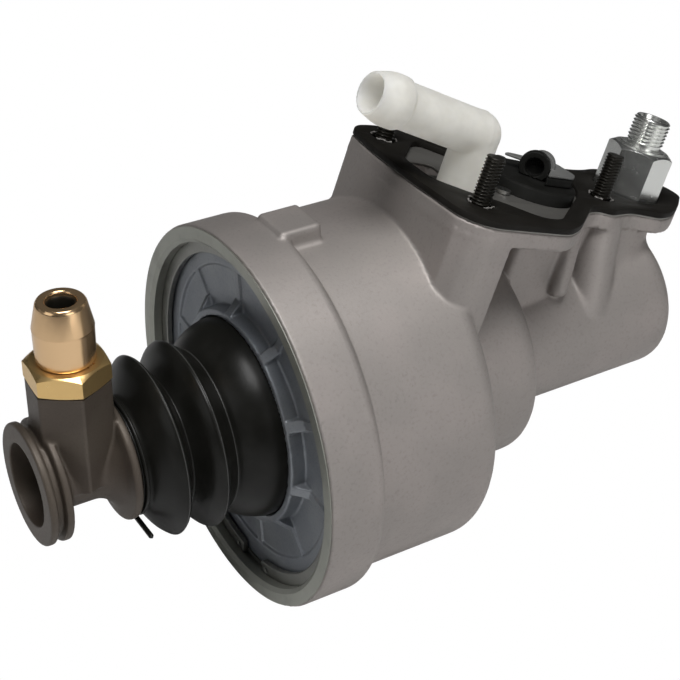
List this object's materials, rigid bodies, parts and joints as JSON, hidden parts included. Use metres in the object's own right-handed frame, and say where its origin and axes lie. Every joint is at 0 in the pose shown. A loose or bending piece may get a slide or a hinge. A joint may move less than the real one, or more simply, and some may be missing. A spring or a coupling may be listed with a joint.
{
  "type": "clutch actuator",
  "caption": "Compressed-air clutch actuator with a cast housing, sloping mounting flange, control valve, vent elbow, air fitting, rubber boot and sliding push rod.",
  "frame": {"origin": "centre of the machined front face of the housing's rim", "axes": "+X along the push rod, out of the front face towards the clutch; +Z towards the sloping mounting flange; +Y to the side that the far front stud is not on"},
  "size_m": [0.307, 0.15, 0.2049],
  "materials": {
    "cast_aluminium": "sand-cast, matte",
    "gasket_black": "matte",
    "stud_black": "black oxide",
    "white_nylon": "translucent moulded",
    "black_rubber": "satin",
    "zinc_steel": "bright zinc plate",
    "copper": "plain",
    "valve_black": "moulded",
    "valve_grey": "moulded",
    "steel": "plain",
    "cover_grey": "die-cast, blue-grey",
    "piston_metal": "machined",
    "bush_bronze": "sintered bronze",
    "guide_plastic": "plain",
    "sensor_grey": "plain",
    "magnet": "plain",
    "head_brown": "phosphated, matte",
    "brass": "machined",
    "bronze": "turned bronze"
  },
  "bodies": {
    "housing": {"housing": "cast_aluminium", "flange_gasket": "gasket_black", "mounting_studs": "stud_black", "exhaust_elbow": "white_nylon", "elbow_seal": "black_rubber", "air_fitting": "zinc_steel", "fitting_seal": "copper", "valve_cap": "valve_black", "valve_block": "valve_black", "valve_barrel": "valve_grey", "valve_screws": "steel", "valve_seal": "black_rubber", "chamber_bushing": "steel", "front_cover": "cover_grey", "cover_o_ring": "black_rubber", "snap_ring": "steel", "guide_bush": "bush_bronze", "rod_wiper": "black_rubber", "boot": "black_rubber", "preload_spring": "steel", "rear_spring_seat": "steel", "sensor_tube": "sensor_grey"},
    "push_rod": {"boot_clip": "valve_black", "boot_collar": "steel", "push_rod": "steel", "piston": "piston_metal", "piston_seal": "black_rubber", "guide_ring": "guide_plastic", "piston_nut": "zinc_steel", "front_spring_seat": "steel", "rod_head": "head_brown", "brass_nut": "brass", "bronze_nose": "bronze"},
    "sensor_carrier": {"sensor_carrier": "white_nylon", "sensor_magnet": "magnet"},
    "valve_plunger": {"valve_plunger": "steel"}
  },
  "joints": [
    {"name": "rod_slide", "type": "slide", "parent": "housing", "child": "push_rod", "axis": [1, 0, 0], "range_m": [-0.008, 0.022], "deforming": ["boot", "preload_spring"]},
    {"name": "sensor_slide", "type": "slide", "parent": "housing", "child": "sensor_carrier", "axis": [1, 0, 0], "range_m": [-0.008, 0.022]},
    {"name": "plunger_slide", "type": "slide", "parent": "housing", "child": "valve_plunger", "axis": [0.342, 0, -0.9397], "range_m": [0, 0.0015], "stiffness_N_per_m": 500, "springref_m": -0.0005}
  ],
  "couplings": [
    {"joint": "sensor_slide", "follows": "rod_slide", "ratio": 1}
  ]
}
